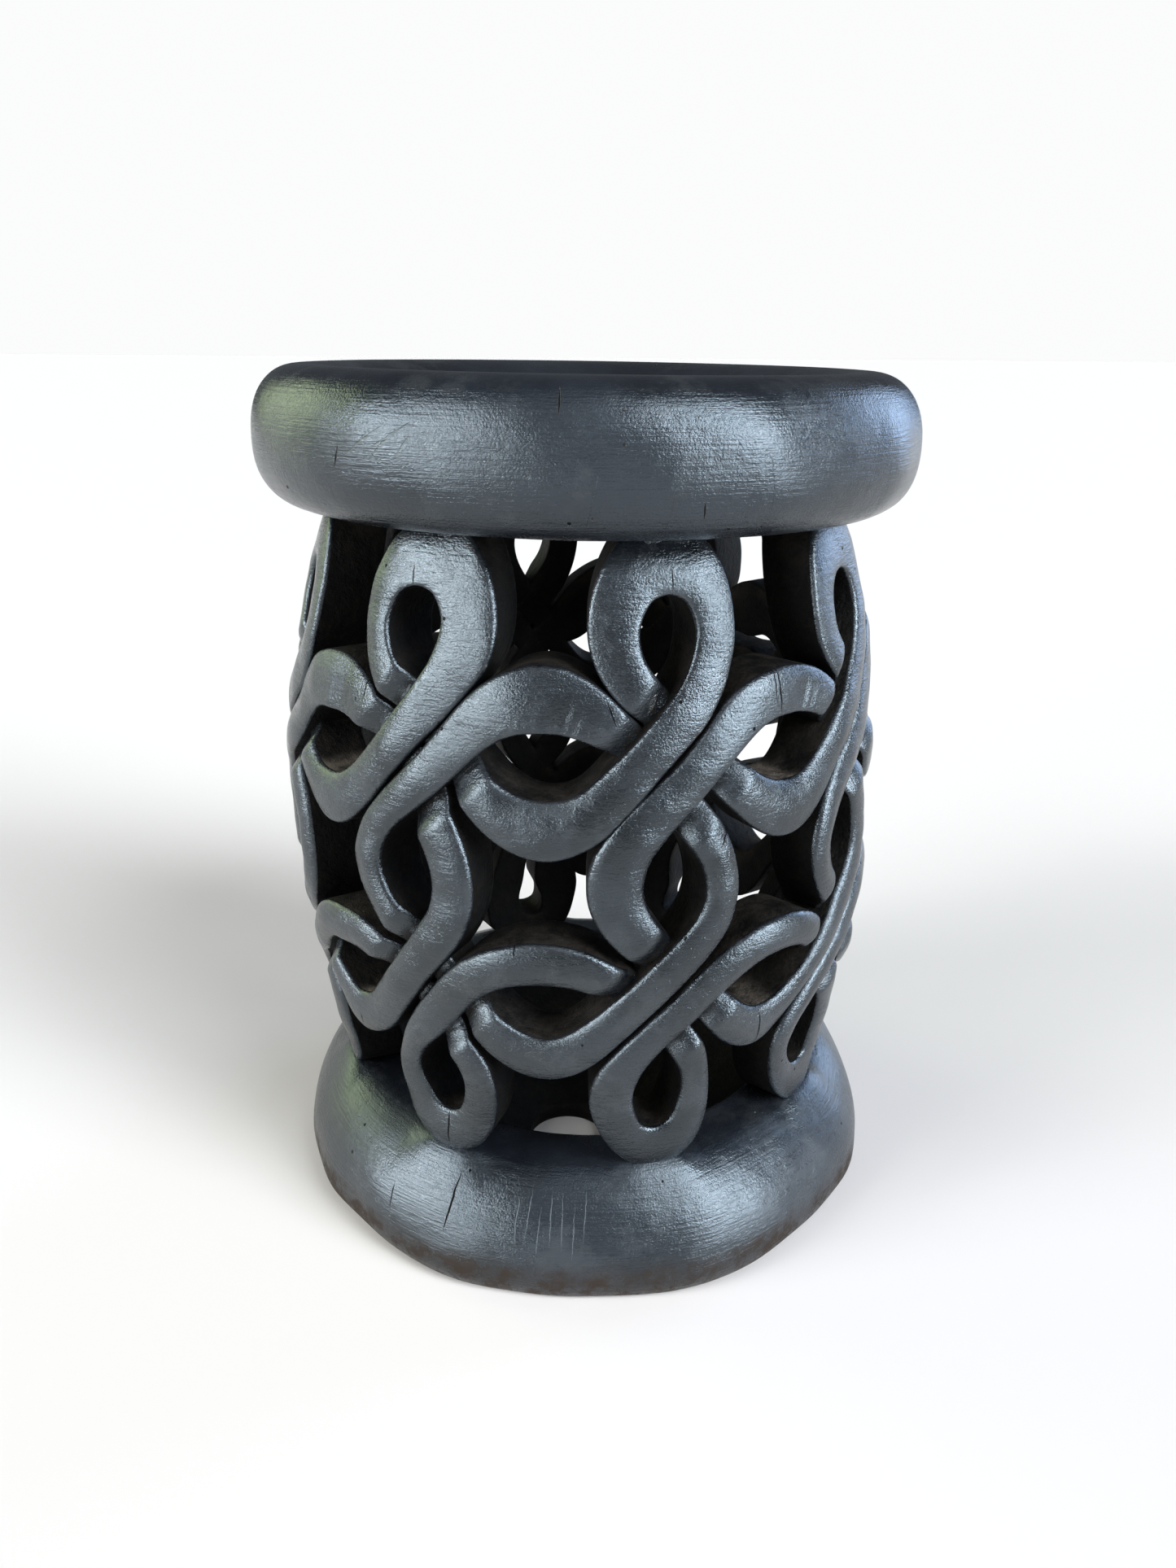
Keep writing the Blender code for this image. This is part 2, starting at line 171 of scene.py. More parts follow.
class Recipe:
    def __init__(self, name):
        self.material = bpy.data.materials.new(name)
        self.material.use_nodes = True
        self.tree = self.material.node_tree
        self.shader = self.tree.nodes["Principled BSDF"]

    def add(self, kind, settings=None, feeds=None, out=0):
        node = self.tree.nodes.new(kind)
        for key, value in (settings or {}).items():
            setattr(node, key, value)
        self.feed(node, feeds or {})
        return Wire(self, node.outputs[out])

    def feed(self, node, feeds):
        for key, value in feeds.items():
            if isinstance(value, Wire):
                self.tree.links.new(value.socket, node.inputs[key])
            else:
                node.inputs[key].default_value = value

    def maths(self, operation, *values):
        return self.add("ShaderNodeMath", {"operation": operation}, dict(enumerate(values)))

    def noise(self, where, scale, detail=2.0, rough=0.5):
        return self.add("ShaderNodeTexNoise", None,
                        {"Vector": where, "Scale": scale, "Detail": detail, "Roughness": rough})

    def strokes(self, where, scales, rough=0.65):       # a noise with a scale for each axis
        where = self.add("ShaderNodeVectorMath", {"operation": "MULTIPLY"}, {0: where, 1: scales})
        return self.noise(where, 1.0, detail=4.0, rough=rough)

    def mix(self, amount, first, second):
        return self.add("ShaderNodeMix", {"data_type": "RGBA"}, {0: amount, 6: first, 7: second}, out=2)

    def bump(self, height):                 # height in metres
        return self.add("ShaderNodeBump", None, {"Height": height, "Distance": 1.0, "Strength": 1.0})

    def attribute(self, name):
        return self.add("ShaderNodeAttribute", {"attribute_name": name}, out="Fac")

    # where the amount is 1 the gloss is gone, as in a crack, on bare wood and in painted shade
    def dull(self, amount, colour):
        matt = self.add("ShaderNodeBsdfPrincipled", None, {"Base Color": colour} | mattFinish)
        both = self.add("ShaderNodeMixShader", None, {0: amount, 2: matt}).socket
        self.tree.links.new(self.shader.outputs[0], both.node.inputs[1])
        self.tree.links.new(both, self.tree.nodes["Material Output"].inputs["Surface"])

    # the surface unrolled: metres round from the front, and height
    def unrolled(self, radius):
        spot = self.add("ShaderNodeTexCoord", out="Object")
        apart = self.add("ShaderNodeSeparateXYZ", None, {0: spot}).socket.node
        x, y, height = (Wire(self, socket) for socket in apart.outputs)
        return self.maths("ARCTAN2", x, y * -1) * radius, height

    # A lens-shaped line on the unrolled surface: 1 inside a crack, scratch or worn patch, 0 outside.
    # Where it lies is given by degrees round from the front and height, and it runs by its turn.
    def mark(self, arc, height, radius, spot, wobble):
        c, s = math.cos(math.radians(spot["turn"])), math.sin(math.radians(spot["turn"]))
        arcAt, heightAt = math.radians(spot["angle"]) * radius, spot["height"]
        along = (arc * c + height * s - (arcAt * c + heightAt * s)) / spot["reach"]
        across = height * c - arc * s - (heightAt * c - arcAt * s) + wobble * spot["wobble"]
        bulge = (1 - along * along) * spot["width"]
        return (bulge - abs(across)).ramp(0.0, spot["soft"])

    def marks(self, arc, height, radius, spots, wobble):
        whole = self.mark(arc, height, radius, spots[0], wobble)
        for spot in spots[1:]:
            whole = self.maths("MAXIMUM", whole, self.mark(arc, height, radius, spot, wobble))
        return whole


def crack(angle, height, reach, turn=90, width=0.0004):
    return {"angle": angle, "height": height, "reach": reach, "turn": turn, "width": width,
            "wobble": 0.0016, "soft": 0.00018}


def patch(angle, height, reach, turn, width):
    return {"angle": angle, "height": height, "reach": reach, "turn": turn, "width": width,
            "wobble": 0.006, "soft": width * 0.8}


seatMarks = {
    "cracks": [crack(3.5, 0.411, 0.005), crack(-31, 0.389, 0.006, 70), crack(24, 0.372, 0.004, 95)],
    "scratches": [crack(-27, 0.394, 0.008, 38, 0.0004), crack(-25, 0.397, 0.009, 31, 0.0004),
                  crack(-23, 0.393, 0.007, 45, 0.0004), crack(-21, 0.398, 0.011, 28, 0.0004),
                  crack(-19, 0.394, 0.006, 52, 0.0004), crack(8, 0.375, 0.012, 78, 0.0002),
                  crack(19, 0.370, 0.015, 84, 0.0002), crack(34, 0.381, 0.012, 100, 0.0003)],
}
baseMarks = {
    "cracks": [crack(-18, 0.042, 0.015, 84, 0.0006), crack(-31, 0.034, 0.008, 95)],
    "scratches": [crack(-5 + 2.1 * k, 0.040 + 0.004 * math.sin(2.3 * k), 0.012,
                        88 + 3 * math.sin(5 * k), 0.0003) for k in range(7)],     # side by side
}
strapMarks = {
    "cracks": [crack(-25.4, 0.341, 0.005), crack(22.6, 0.342, 0.006), crack(42.2, 0.296, 0.014, 95, 0.0005),
               crack(41.3, 0.298, 0.010, 92), crack(11.5, 0.291, 0.006, -67, 0.0004),
               crack(-34.4, 0.291, 0.005), crack(-18.1, 0.280, 0.004),
               crack(-21.3, 0.075, 0.011, 86, 0.0006), crack(41.4, 0.132, 0.011, 91, 0.0005),
               crack(-4.5, 0.186, 0.004), crack(-41, 0.121, 0.004),
               crack(30.8, 0.236, 0.006, 60, 0.0005), crack(-14, 0.240, 0.005, 110)],
    "raw": [patch(-11.2, 0.197, 0.010, 63, 0.0018), patch(-9.3, 0.307, 0.007, 50, 0.0014),
            patch(18.5, 0.293, 0.006, 62, 0.0020), patch(22, 0.3575, 0.020, 0, 0.0016),
            patch(27, 0.283, 0.008, 48, 0.0010)],
}


# The stained wood of the outer faces. Its colour and gloss are clouded, and scuffs, knife strokes,
# cracks and pits lie over that. Straps also wear pale at their edges, and where they are sunk under
# a crossing they take dirt and painted shade, darker and matt. The base's foot is brown and matt,
# partly wear and partly painted shade that darkens its bottom.
def blackWood(name, look, flaws):
    wood = Recipe(name)
    spot = wood.add("ShaderNodeTexCoord", out="Object")
    arc, height = wood.unrolled(look["radius"])
    cloud = wood.noise(spot, look["cloudScale"], detail=5.0, rough=0.62)
    fleck = wood.noise(spot, look["fleckScale"], detail=2.0, rough=0.6)
    grime = wood.noise(spot, look["grimeScale"], detail=3.0, rough=0.6)
    scuff = wood.noise(spot, look["scuffScale"], detail=7.0, rough=0.68).ramp(*look["scuffRange"])
    swell = wood.noise(spot, look["swellScale"], detail=1.0, rough=0.4)
    lines = wood.strokes(spot, look["strokes"])
    colour = wood.mix(cloud.ramp(*look["cloudRange"]), look["dark"], look["light"])
    colour = wood.mix(scuff * look["scuffAmount"], colour, look["scuff"])
    rough = look["rough"] + (cloud - 0.5) * look["roughSpread"] + scuff * look["scuffRough"]
    rough = rough + (fleck - 0.5) * look["fleckRough"] + (grime - 0.5) * look["grimeRough"]
    rough = rough + (lines - 0.5) * look["lineRough"]
    wobble = grime - 0.5
    split = wood.marks(arc, height, look["radius"], flaws["cracks"], wobble)
    pit = wood.add("ShaderNodeTexVoronoi", None, {"Vector": spot, "Scale": look["pitScale"]},
                   out="Distance")
    pit = (look["pitReach"] - pit).ramp(0.0, look["pitSoft"])
    pit = pit * wood.noise(spot, look["pitsScale"], detail=1.0, rough=0.5).ramp(*look["pitsRange"])
    split = wood.maths("MAXIMUM", split, pit)
    if look["straps"]:
        edge, sunk = (wood.attribute(key) for key in ("edge", "sunk"))
        coarse = wood.noise(spot, look["coarseScale"], detail=6.0, rough=0.75)
        worn = wood.noise(spot, look["wearScale"], detail=5.0, rough=0.65).ramp(*look["wearRange"])
        worn = edge * worn
        colour = wood.mix(worn * look["wear"], colour, look["worn"])
        rough = rough - worn * look["wearRough"]
        raw = wood.marks(arc, height, look["radius"], flaws["raw"], wobble)
        raw = raw * coarse.ramp(*look["rawRange"])
        # dirt and painted shade: darker and matt where the strap is sunk under a crossing
        dirtAndShade = sunk.ramp(*look["dirtAndShadeSunk"]) * coarse.ramp(*look["dirtAndShadeRange"]) * look["dirtAndShadeAmount"]
        bareDirtAndShade = wood.maths("MAXIMUM", raw, dirtAndShade)
        bareDirtAndShadeColour = wood.mix(raw, look["dirtAndShade"], look["raw"])
        relief = lines * look["lineDepth"] + raw * coarse * look["rawDepth"]
    else:
        line = wood.marks(arc, height, look["radius"], flaws["scratches"], wobble)
        colour = wood.mix(line * look["scratchAmount"], colour, look["scratch"])
        # the base's foot: a brown, matt band that is partly wear and partly painted shade darkening the
        # bottom
        foot = (look["footHeight"] - height + grime * look["footSoft"]).ramp(0.0, look["footSoft"])
        patchy = wood.noise(spot, look["footScale"], detail=6.0, rough=0.75).ramp(*look["footRange"])
        bareDirtAndShade = foot * look["footAmount"] * (look["footLeast"] + (1 - look["footLeast"]) * patchy)
        bareDirtAndShadeColour = look["foot"]
        relief = lines * look["lineDepth"] - line * look["scratchDepth"]
    wood.dull(wood.maths("MAXIMUM", bareDirtAndShade, split), wood.mix(split, bareDirtAndShadeColour, look["crack"]))
    relief = relief + fleck * look["fleckDepth"] + grime * look["grimeDepth"] - split * look["crackDepth"]
    relief = relief + swell * look["swellDepth"] - scuff * look["scuffDepth"]
    wood.feed(wood.shader, {"Base Color": colour, "Roughness": rough, "Normal": wood.bump(relief),
                            "Specular IOR Level": look["shine"], "Specular Tint": look["gloss"]})
    return wood.material


# the unpolished wood of the side walls and the hollow, black below and dusty on its ledges
def innerWood(name, look):
    wood = Recipe(name)
    spot = wood.add("ShaderNodeTexCoord", out="Object")
    coarse = wood.noise(spot, look["coarseScale"], detail=6.0, rough=0.75)
    chips = wood.strokes(spot, look["chips"], rough=0.7)
    colour = wood.mix(coarse.ramp(*look["brownRange"]), look["dark"], look["brown"])
    dust = wood.marks(*wood.unrolled(look["radius"]), look["radius"], look["dust"], coarse - 0.5)
    dust = wood.attribute("ledge") * (dust + look["dustLeast"]) * coarse.ramp(*look["dustRange"])
    colour = wood.mix(dust, colour, look["ledge"])
    rough = look["rough"] + coarse * look["coarseRough"]
    relief = coarse * look["coarseDepth"] + chips * look["chipDepth"]
    wood.feed(wood.shader, {"Base Color": colour, "Roughness": rough, "Normal": wood.bump(relief),
                            "Specular IOR Level": look["shine"]})
    return wood.material


# looks: a depth is in metres, a scale is a noise's own, and a range is where its ramp starts and ends
innerLook = {
    "radius": baseReach - 0.0065, "rough": 0.55, "shine": 0.12,
    "dark": (0.0009, 0.0008, 0.0007, 1), "brown": (0.0060, 0.0045, 0.0032, 1), "brownRange": (0.45, 0.75),
    "coarseScale": 75.0, "coarseDepth": 0.0022, "coarseRough": 0.2,
    "chips": (260.0, 260.0, 90.0), "chipDepth": 0.0006,
    "ledge": (0.085, 0.070, 0.056, 1), "dustLeast": 0.15, "dustRange": (0.30, 0.62),
    "dust": [patch(41, 0.253, 0.020, 0, 0.018), patch(-44, 0.248, 0.018, 0, 0.015),
             patch(42, 0.135, 0.022, 0, 0.018), patch(-38, 0.140, 0.020, 0, 0.014)],
}
seatLook = {
    "straps": False, "radius": seatReach,
    "dark": (0.003, 0.0036, 0.0050, 1), "light": (0.011, 0.013, 0.017, 1),
    "gloss": (0.80, 0.92, 1.0, 1), "shine": 0.7, "rough": 0.22, "roughSpread": 0.34,
    "cloudScale": 9.0, "cloudRange": (0.35, 0.7), "swellScale": 26.0, "swellDepth": 0.0014,
    "strokes": (30.0, 30.0, 800.0), "lineRough": 0.20, "lineDepth": 0.00036,
    "fleckScale": 1100.0, "fleckRough": 0.12, "fleckDepth": 0.00022,
    "grimeScale": 160.0, "grimeRough": 0.12, "grimeDepth": 0.00026,
    "scuff": (0.026, 0.028, 0.030, 1), "scuffScale": 15.0, "scuffRange": (0.50, 0.62),
    "scuffAmount": 0.5, "scuffRough": 0.06, "scuffDepth": 0.00012,
    "scratch": (0.002, 0.002, 0.003, 1), "scratchAmount": 0.5, "scratchDepth": 0.00020,
    "crack": (0.001, 0.001, 0.001, 1), "crackDepth": 0.0009,
    "pitScale": 110.0, "pitReach": 0.10, "pitSoft": 0.03, "pitsScale": 31.0, "pitsRange": (0.60, 0.64),
    "foot": (0.05, 0.035, 0.022, 1), "footAmount": 0.0,         # only the base has a brown foot
    "footHeight": 0.020, "footSoft": 0.012, "footScale": 70.0, "footRange": (0.42, 0.60), "footLeast": 0.4,
}
baseLook = seatLook | {
    "radius": baseReach, "rough": 0.23, "cloudScale": 11.0, "scratch": (0.10, 0.11, 0.12, 1),
    # the foot colour: brown wear, with painted shade at the base's bottom
    "foot": (0.022, 0.014, 0.009, 1), "footAmount": 0.85,
}
strapLook = seatLook | {
    "straps": True, "radius": baseReach - 0.0065,
    "dark": (0.0016, 0.0019, 0.0026, 1), "light": (0.0085, 0.0100, 0.0125, 1),
    "shine": 0.80, "roughSpread": 0.42, "cloudScale": 24.0, "swellScale": 45.0, "swellDepth": 0.0009,
    "strokes": (110.0, 110.0, 620.0), "lineRough": 0.35, "lineDepth": 0.00038, "fleckDepth": 0.00026,
    "scuffScale": 34.0, "scuffAmount": 0.35, "coarseScale": 75.0,
    "worn": (0.12, 0.13, 0.14, 1), "wear": 0.14, "wearRough": 0.06,
    "wearScale": 60.0, "wearRange": (0.42, 0.66),
    "raw": (0.085, 0.068, 0.052, 1), "rawRange": (0.35, 0.6), "rawDepth": 0.0012,
    # the dirt colour, also painted shade where a strap is sunk under a crossing
    "dirtAndShade": (0.0045, 0.0036, 0.0028, 1), "dirtAndShadeAmount": 0.9,
    "dirtAndShadeSunk": (0.55, 0.98), "dirtAndShadeRange": (0.40, 0.58),
}


# barrel and weave, in the same terms as the solids: share of a column's pitch, share of the barrel's
# height, and width as a share of the strap's own. A loop's first and last points meet its neighbours'.
weave = {
    "columns": 8, "width": 0.019, "wall": 0.028,
    "foot": baseReach - 0.0245, "belly": baseReach - 0.0065, "neck": seatReach - 0.0305,
    "bellyHeight": 0.207, "flare": 0.0022, "flareReach": 0.012,         # flare at the base
    "edgeRound": 0.0018, "backRound": 0.0016, "crown": 0.0025,
    "flatter": 0.5, "flatFrom": 0.230, "flatTo": 0.300,                 # the crown above the belly
    "sink": 0.0065, "sinkRun": 0.013, "fallSharpness": 2.5,
    "crossing": 0.6,                                                    # least sine of the angle
    "step": 0.0014, "samples": 32, "spare": 12, "smoothing": 3,         # of the courses
    "evening": 8, "tightEvening": 17,                                   # steps either way
    "tightFrom": 0.30, "tightRun": 0.5,                                 # half width over bend radius
    "waves": [(0.00045, 0.050, 3), (0.00010, 0.017, 4)],                # height, length and seed
    "upper": [
        (0.07, 0.721, 0.88), (-0.06, 0.771, 0.89), (-0.175, 0.822, 0.94), (-0.21, 0.882, 0.96),
        (-0.16, 0.937, 1.16), (-0.095, 0.962, 1.42), (0.0, 0.973, 1.58), (0.095, 0.962, 1.42),
        (0.16, 0.937, 1.14), (0.205, 0.882, 0.92), (0.17, 0.828, 0.94), (0.085, 0.778, 0.96),
        (-0.055, 0.724, 0.96), (-0.20, 0.667, 1.03), (-0.34, 0.619, 1.18), (-0.50, 0.600, 1.42),
        (-0.65, 0.622, 1.17), (-0.79, 0.668, 0.95), (-0.93, 0.721, 0.88)],
    "ring": [
        (-0.50, 0.789, 1.47), (-0.33, 0.771, 1.22), (-0.175, 0.726, 0.86), (-0.055, 0.680, 0.87),
        (0.055, 0.621, 0.97), (0.15, 0.566, 0.92), (0.19, 0.512, 0.86), (0.165, 0.452, 0.90),
        (0.08, 0.405, 0.95), (-0.05, 0.354, 0.98), (-0.20, 0.295, 1.00), (-0.35, 0.242, 1.12),
        (-0.50, 0.220, 1.24), (-0.65, 0.242, 1.10), (-0.79, 0.292, 0.93), (-0.93, 0.347, 0.88),
        (-1.055, 0.404, 0.93), (-1.16, 0.458, 0.98), (-1.205, 0.514, 1.0), (-1.165, 0.573, 0.98),
        (-1.07, 0.620, 0.98), (-0.93, 0.674, 0.97), (-0.80, 0.728, 1.03), (-0.66, 0.773, 1.26),
        (-0.50, 0.789, 1.47)],
    "lower": [
        (-0.07, 0.306, 0.86), (0.06, 0.253, 0.86), (0.17, 0.200, 0.92), (0.20, 0.140, 0.95),
        (0.15, 0.068, 1.08), (0.085, 0.041, 1.28), (0.0, 0.032, 1.40), (-0.085, 0.041, 1.28),
        (-0.15, 0.068, 1.10), (-0.21, 0.142, 0.98), (-0.16, 0.202, 0.93), (-0.055, 0.254, 0.93),
        (0.08, 0.305, 0.95), (0.20, 0.350, 0.97), (0.34, 0.382, 1.05), (0.50, 0.392, 1.12),
        (0.66, 0.384, 1.04), (0.81, 0.350, 0.90), (0.93, 0.306, 0.86)],
}
pitch = 2 * math.pi / weave["columns"]
columnLength = pitch * weave["belly"]


def barrelRadius(height):       # two parabolas that meet at the belly
    above = (height - weave["bellyHeight"]) / (seatUnder - weave["bellyHeight"])
    below = (height - weave["bellyHeight"]) / (baseTop - weave["bellyHeight"])
    drop = np.where(above > 0, (weave["belly"] - weave["neck"]) * above ** 2,
                    (weave["belly"] - weave["foot"]) * below ** 2)
    return weave["belly"] - drop


def bell(reach):                # weights of a bell-shaped average, so many steps either way
    weights = np.hanning(2 * reach + 3)[1:-1]
    return weights / weights.sum()


# A course is a strap's centreline at even steps: a Catmull-Rom curve through its places and their
# repeats either side, evened out by a short moving average and cut back to one repeat.
def course(shares, closed):
    places = np.array(shares)
    gaps, samples, spare = len(places) - 1, weave["samples"], weave["spare"]
    stride = places[-1] - places[0]
    chain = np.vstack([places[:-1] + turn * stride for turn in (-2, -1, 0, 1, 2)])
    p0, p1, p2, p3 = chain[:-3], chain[1:-2], chain[2:-1], chain[3:]
    t = np.linspace(0, 1, samples, endpoint=False)[:, None, None]
    curve = p1 + ((p2 - p0) * t + (2 * p0 - 5 * p1 + 4 * p2 - p3) * t ** 2
                  + (3 * p1 - p0 - 3 * p2 + p3) * t ** 3) / 2
    curve = curve.transpose(1, 0, 2).reshape(-1, 3)
    curve *= (columnLength, seatUnder - baseTop, weave["width"])
    curve[:, 1] += baseTop
    squeeze = barrelRadius(curve[:, 1]) / weave["belly"]
    ds = np.hypot(np.diff(curve[:, 0]) * squeeze[1:], np.diff(curve[:, 1]))
    along = np.concatenate(([0], np.cumsum(ds)))
    first, last = along[(2 * gaps - 1) * samples], along[(3 * gaps - 1) * samples]
    count = int(round((last - first) / weave["step"]))
    even = first + (last - first) * np.arange(-spare, count + spare + 1) / count
    track = np.stack([np.interp(even, along, curve[:, k]) for k in range(3)], -1)
    weights = bell(weave["smoothing"])
    track = np.stack([np.convolve(track[:, k], weights, "same") for k in range(3)], -1)
    squeeze = barrelRadius(track[:, 1]) / weave["belly"]
    heading = np.unwrap(np.arctan2(np.gradient(track[:, 1]), np.gradient(track[:, 0]) * squeeze))
    keep = slice(spare, spare + count + (0 if closed else 1))
    return {"across": track[keep, 0], "height": track[keep, 1], "half": track[keep, 2] / 2,
            "heading": heading[keep], "along": even[keep] - first, "closed": closed}


# A strap's section: face, rounded edge, side wall, rounded back edge, back, and the same up again.
# Each point is a sum of shares of the half width, the edge's round, the back's round and the wall.
section = {"face": 11, "edge": 7, "side": 7, "backEdge": 4, "back": 7}       # points, ends included


def sectionShares():
    quarter = np.pi / 2
    face = [(a, -a, 0, 0, 0, 0) for a in np.linspace(-1, 1, section["face"])]
    edge = [(1, math.sin(q) - 1, 0, 1 - math.cos(q), 0, 0)
            for q in np.linspace(0, quarter, section["edge"])[1:]]
    side = [(1, 0, 0, 1 - w, w, -w) for w in np.linspace(0, 1, section["side"])[1:]]
    turn = [(1, 0, math.cos(q) - 1, 0, 1, math.sin(q) - 1)
            for q in np.linspace(0, quarter, section["backEdge"])[1:]]
    back = [(b, 0, -b, 0, 1, 0) for b in np.linspace(1, -1, section["back"])[1:-1]]
    down = np.array(edge + side + turn)
    up = down[::-1] * (-1, -1, -1, 1, 1, 1)
    return np.vstack((face, down, back, up[:-1]))


# Evens out each line of a grid along its rows with a bell-shaped average, so that the inside of a
# tight bend comes out round. Open lines carry straight on past their ends.
def evenedRows(grid, reach, closed):
    if closed:
        wide = np.concatenate((grid[-reach:], grid, grid[:reach]))
    else:
        wide = np.concatenate((2 * grid[:1] - grid[reach:0:-1], grid,
                               2 * grid[-1:] - grid[-2:-reach - 2:-1]))
    return sum(weight * wide[k:k + len(grid)] for k, weight in enumerate(bell(reach)))


# How far a strap is sunk: 1 under a strap that rises to the right, fading to 0 over the sink's run,
# and only where it falls to the right itself.
def sinkOf(own, across, height, courses):
    farOff = 9.9
    nearest = np.full(across.shape, farOff)
    squeeze = barrelRadius(height)[:, :, None] / weave["belly"]
    for other in courses.values():
        risesRight = np.sin(2 * other["heading"]) > 0
        for turn in range(-2, 3):
            crosses = np.abs(np.sin(own["heading"][:, None] - other["heading"])) > weave["crossing"]
            crosses &= risesRight
            if other is own and turn == 0:
                crosses &= np.abs(own["along"][:, None] - own["along"]) > columnLength
            keep = np.flatnonzero(crosses.any(axis=0))
            if len(keep) == 0:
                continue
            dx = (across[:, :, None] - other["across"][keep] - turn * columnLength) * squeeze
            dz = height[:, :, None] - other["height"][keep]
            gap = np.hypot(dx, dz) - other["half"][keep]
            gap = np.where(crosses[:, None, keep], gap, farOff)
            nearest = np.minimum(nearest, gap.min(axis=2))
    fallsRight = smoothStep(-weave["fallSharpness"] * np.sin(2 * own["heading"]))[:, None]
    return smoothStep(1 - nearest / weave["sinkRun"]) * fallsRight


# The carver's drift: where the weave was cut off its regular places. Angle is in degrees round from
# the front, reach is degrees round and metres up, and the moves aside, up and outwards are in metres.
def pull(angle, height, reach, aside=0.0, up=0.0, out=0.0):
    return {"angle": angle, "height": height, "reach": reach, "move": np.array((aside, up, out))}


# an edge cut wider or narrower than the regular strap: whose and where, on which side, by how many
# metres and over how many
def trim(kind, number, angle, height, side, by, reach):
    faces = {"left": (-1, 0), "right": (1, 0), "down": (0, -1), "up": (0, 1)}[side]
    return {"strap": (kind, number), "angle": angle, "height": height, "faces": faces,
            "by": by, "reach": reach}


drift = [
    pull(-23, 0.322, (11, 0.032), aside=-0.0070),
    pull(-46, 0.268, (14, 0.034), aside=-0.001, up=-0.0065),
    pull(-63, 0.272, (11, 0.040), aside=0.006, up=-0.004),
    pull(-23, 0.212, (10, 0.028), aside=-0.0085),
    pull(-44, 0.176, (13, 0.022), aside=0.003, up=-0.006),
    pull(-62, 0.165, (12, 0.040), aside=0.010, up=-0.006),
    pull(-44, 0.130, (14, 0.026), aside=0.009, up=-0.0035),
    pull(-21, 0.138, (10, 0.020), aside=0.0015, up=-0.0035),
    pull(-24, 0.098, (12, 0.026), aside=0.0025),
    pull(23, 0.325, (10, 0.028), aside=-0.0015),
    pull(32, 0.322, (6, 0.024), aside=-0.0025),
    pull(22, 0.105, (12, 0.030), aside=-0.0045),
    pull(44, 0.125, (12, 0.022), aside=-0.005, up=0.005),
    pull(65, 0.215, (16, 0.040), aside=-0.010, out=-0.002),
    pull(64, 0.110, (18, 0.040), aside=-0.020, out=-0.003),
    pull(-78, 0.240, (26, 0.065), out=0.0040),
    pull(-72, 0.072, (24, 0.020), out=-0.0020),
    pull(84, 0.072, (22, 0.020), out=-0.0020),
    pull(84, 0.235, (12, 0.030), up=-0.007),
    pull(90, 0.240, (30, 0.070), out=-0.0015),
    pull(22, 0.360, (14, 0.009), out=-0.0040),
    pull(-22, 0.362, (12, 0.007), out=-0.0012),
    pull(187, 0.266, (12, 0.034), aside=0.003, up=-0.0145),
    pull(203, 0.315, (12, 0.030), aside=0.006),
    pull(140, 0.296, (12, 0.018), up=-0.011),
    pull(151, 0.322, (9, 0.026), aside=0.005),
    pull(137, 0.248, (10, 0.014), up=0.008),
    pull(226, 0.248, (10, 0.014), up=0.008),
    pull(137, 0.200, (12, 0.022), aside=0.006, up=-0.006),
    pull(186, 0.125, (12, 0.024), up=-0.014),
    pull(203, 0.100, (10, 0.025), aside=0.0115, up=-0.013),
    pull(158, 0.105, (10, 0.020), up=-0.008),
    pull(135, 0.122, (12, 0.016), up=-0.010),
]
trims = [
    trim("upper", 8, -12, 0.325, "right", 0.0050, 0.024),
    trim("upper", 8, -11, 0.309, "right", 0.0040, 0.010),
    trim("upper", 8, -35, 0.318, "left", 0.0010, 0.028),
    trim("upper", 8, -43, 0.236, "down", 0.0030, 0.020),
    trim("upper", 1, 11, 0.326, "left", 0.0050, 0.032),
    trim("ring", 8, -45, 0.297, "up", -0.0050, 0.026),
    trim("ring", 2, 45, 0.297, "up", -0.0068, 0.026),
    trim("ring", 1, -33, 0.210, "left", 0.0035, 0.026),
    trim("ring", 2, 13, 0.217, "left", 0.0068, 0.034),
    trim("lower", 1, 45, 0.177, "down", -0.0035, 0.024),
    trim("lower", 7, -45, 0.177, "up", -0.0030, 0.024),
    trim("lower", 1, 13, 0.110, "left", 0.0025, 0.024),
    trim("lower", 1, 13, 0.110, "right", 0.0035, 0.024),
    trim("lower", 8, -31, 0.107, "left", -0.0045, 0.028),
    trim("lower", 1, 31, 0.110, "right", -0.0035, 0.028),
    trim("lower", 5, 214, 0.081, "right", 0.0300, 0.022),
    trim("lower", 5, 197.5, 0.114, "right", 0.0125, 0.017),
    trim("lower", 5, 208.5, 0.114, "left", 0.0100, 0.017),
    trim("lower", 4, 151.5, 0.112, "right", 0.0060, 0.016),
    trim("lower", 4, 163.5, 0.110, "left", 0.0130, 0.018),
    trim("ring", 5, 187.5, 0.120, "down", 0.0190, 0.022),
    trim("ring", 5, 189, 0.275, "down", 0.0095, 0.018),
    trim("ring", 5, 169, 0.274, "down", 0.0080, 0.013),
    trim("upper", 5, 168, 0.249, "down", 0.0135, 0.015),
    trim("upper", 5, 169, 0.257, "up", 0.0060, 0.012),
    trim("upper", 4, 137, 0.246, "up", 0.0105, 0.024),
    trim("ring", 4, 135, 0.286, "down", 0.0125, 0.024),
    trim("upper", 4, 131, 0.240, "down", 0.0110, 0.024),
    trim("lower", 3, 130, 0.180, "up", 0.0120, 0.022),
    trim("upper", 6, 228, 0.244, "up", 0.0080, 0.022),
    trim("ring", 6, 233, 0.285, "down", 0.0085, 0.020),
    trim("ring", 6, 194, 0.190, "down", 0.0060, 0.012),
    trim("ring", 5, 206, 0.194, "left", 0.0045, 0.012),
]


